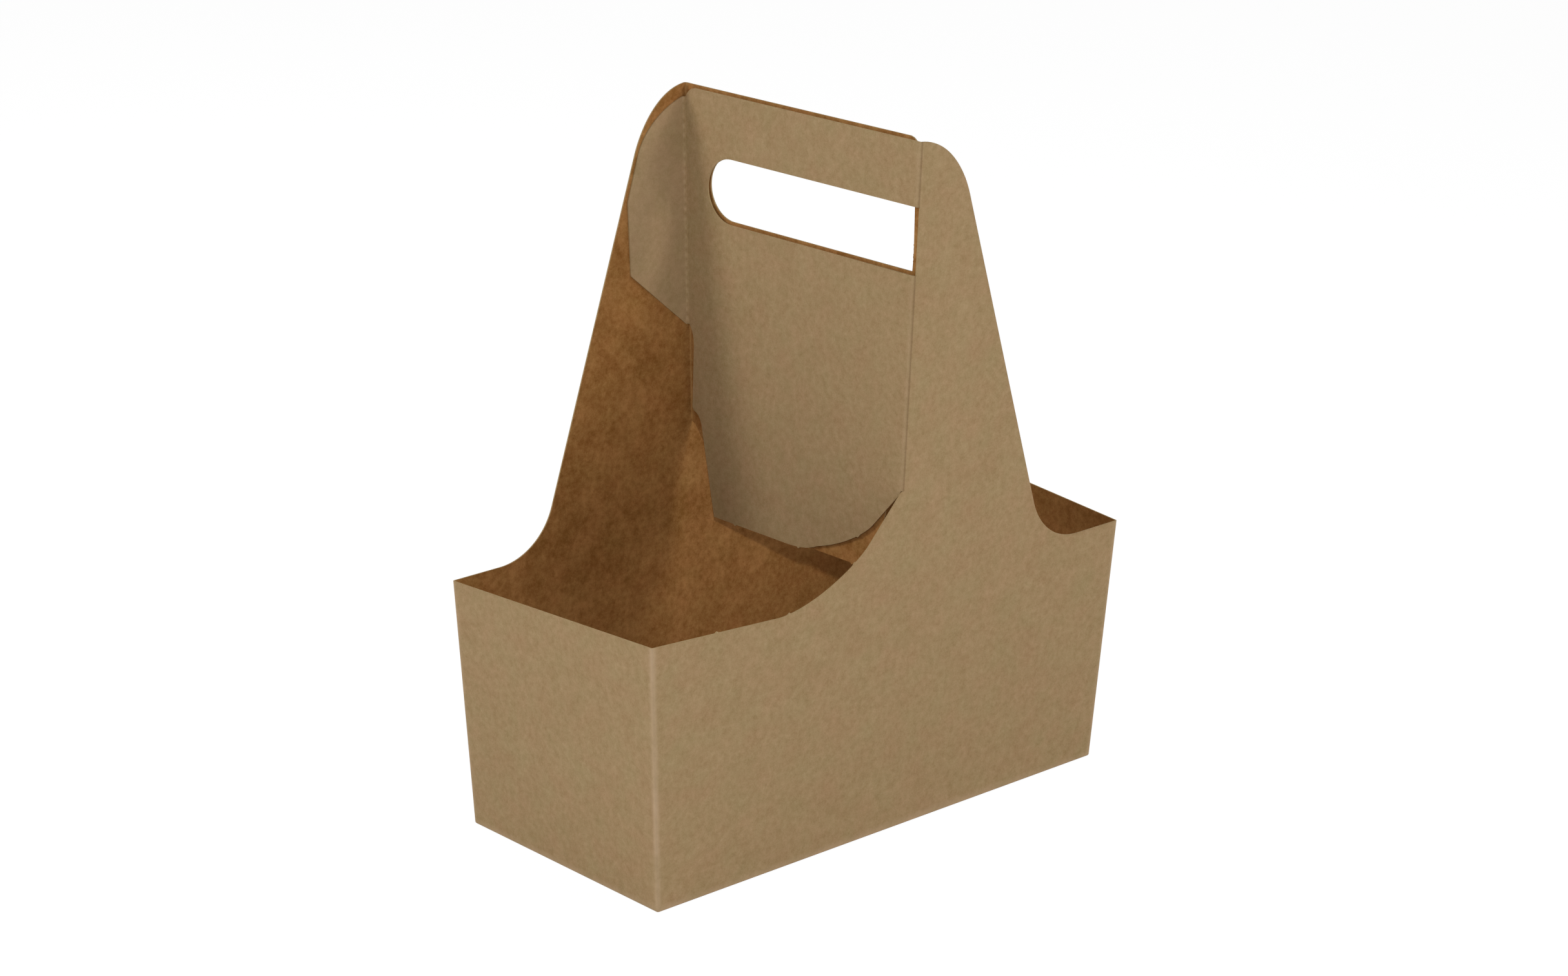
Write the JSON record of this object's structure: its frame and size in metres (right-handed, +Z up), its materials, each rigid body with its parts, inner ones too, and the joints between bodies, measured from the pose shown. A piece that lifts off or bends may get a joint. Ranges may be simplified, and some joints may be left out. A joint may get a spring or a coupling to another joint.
{
  "type": "cup carrier",
  "caption": "Folded kraft-board drink carrier: an open tapered tray with an upright handle and divider, cut from its own long walls, and a hand slot through it.",
  "frame": {"origin": "centre of the base, on the plane the carrier stands on", "axes": "+X along the tray, +Y across it, +Z up; the handle's two divider plies stand across the middle, along Y, and each long wall rises into half of the handle: the wall at -Y on its +X side, the wall at +Y on its -X side"},
  "size_m": [0.212, 0.1117, 0.2395],
  "materials": {
    "kraft_board": "matt"
  },
  "bodies": {
    "root": {"folded_carrier": "kraft_board"}
  },
  "joints": []
}
